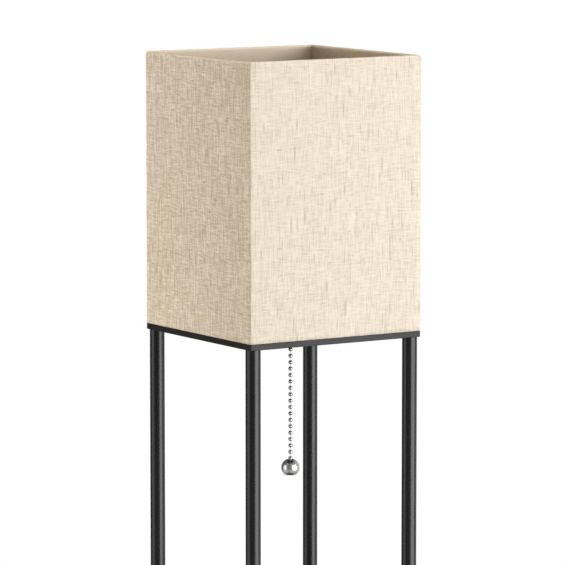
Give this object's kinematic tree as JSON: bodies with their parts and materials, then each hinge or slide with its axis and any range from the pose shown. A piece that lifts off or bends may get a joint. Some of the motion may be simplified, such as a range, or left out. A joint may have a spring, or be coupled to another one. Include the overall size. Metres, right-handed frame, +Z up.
{
  "type": "shelf floor lamp",
  "caption": "Tall floor lamp: square fabric shade over open shelves on round tube posts, with a bead pull chain that works the switch.",
  "frame": {"origin": "on the floor, midway between the four feet", "axes": "+Z up, -Y towards the front, where the pull chain hangs, +X to the right seen from the front"},
  "size_m": [0.254, 0.254, 1.6],
  "materials": {
    "black_tube": "satin black powder coat",
    "black_board": "satin black lacquer on fibreboard",
    "black_plastic": "fine matte moulding",
    "zinc_steel": "bright zinc plate",
    "linen": "natural slubbed linen",
    "liner": "smooth warm white sheet",
    "wire": "white coated wire",
    "nickel": "polished nickel plate",
    "brass": "clean brass",
    "phenolic": "moulded phenolic",
    "fibre_sleeve": "pressed fibre",
    "spring_steel": "plain spring steel",
    "bulb_glass": "frosted white",
    "bulb_metal": "bright aluminium",
    "lead": "dull solder"
  },
  "bodies": {
    "stand": {"foot_glide_front_left": "black_plastic", "leg_tube_front_left": "black_tube", "pole_lower_front_left": "black_tube", "pole_middle_front_left": "black_tube", "pole_upper_front_left": "black_tube", "foot_glide_front_right": "black_plastic", "leg_tube_front_right": "black_tube", "pole_lower_front_right": "black_tube", "pole_middle_front_right": "black_tube", "pole_upper_front_right": "black_tube", "foot_glide_back_left": "black_plastic", "leg_tube_back_left": "black_tube", "pole_lower_back_left": "black_tube", "pole_middle_back_left": "black_tube", "pole_upper_back_left": "black_tube", "foot_glide_back_right": "black_plastic", "leg_tube_back_right": "black_tube", "pole_lower_back_right": "black_tube", "pole_middle_back_right": "black_tube", "pole_upper_back_right": "black_tube", "shelf_bottom": "black_board", "shelf_middle": "black_board", "shelf_top": "black_board", "shade_board": "black_board", "top_screws": "zinc_steel", "shade_fabric": "linen", "shade_liner": "liner", "shade_top_wire": "wire", "shade_spider": "wire", "lamp_nipple": "zinc_steel", "nipple_washer": "zinc_steel", "nipple_nut": "zinc_steel", "cord_bushing": "black_plastic", "socket_cap": "nickel", "socket_shell": "nickel", "socket_liner": "fibre_sleeve", "switch_body": "phenolic", "terminal_screws": "brass", "screw_shell": "brass", "centre_contact": "brass", "lever_pin": "spring_steel", "lever_spring": "spring_steel", "chain_guide": "nickel", "chain_grommet": "nickel"},
    "upper_chain": {"chain_upper": "nickel"},
    "swing_knuckle": {"swing_bead": "nickel"},
    "hanging_chain": {"chain_lower": "nickel", "ball_pull": "nickel"},
    "lever": {"pull_lever": "spring_steel"},
    "bulb": {"bulb_globe": "bulb_glass", "bulb_cap": "bulb_metal", "bulb_insulator": "phenolic", "bulb_contact": "lead"}
  },
  "joints": [
    {"name": "chain_pull", "type": "slide", "parent": "stand", "child": "upper_chain", "axis": [0, 0, -1], "range_m": [0, 0.008], "stiffness_N_per_m": 800, "springref_m": -0.004},
    {"name": "chain_swing_front_back", "type": "hinge", "parent": "upper_chain", "child": "swing_knuckle", "pos_m": [-0.00192, -0.02192, 1.2315], "axis": [1, 0, 0], "range_deg": [-35, 35]},
    {"name": "chain_swing_side", "type": "hinge", "parent": "swing_knuckle", "child": "hanging_chain", "pos_m": [-0.00192, -0.02192, 1.2315], "axis": [0, 1, 0], "range_deg": [-35, 35]},
    {"name": "lever_tilt", "type": "hinge", "parent": "stand", "child": "lever", "pos_m": [-0.00083, -0.00946, 1.27307], "axis": [0.9962, -0.0872, 0], "range_deg": [0, 35.7], "deforming": ["lever_spring"]},
    {"name": "bulb_withdraw", "type": "slide", "parent": "stand", "child": "bulb", "axis": [0, 0, 1], "range_m": [0, 0.024]}
  ],
  "couplings": [
    {"joint": "lever_tilt", "follows": "chain_pull", "rad_per_m": 77.426}
  ]
}
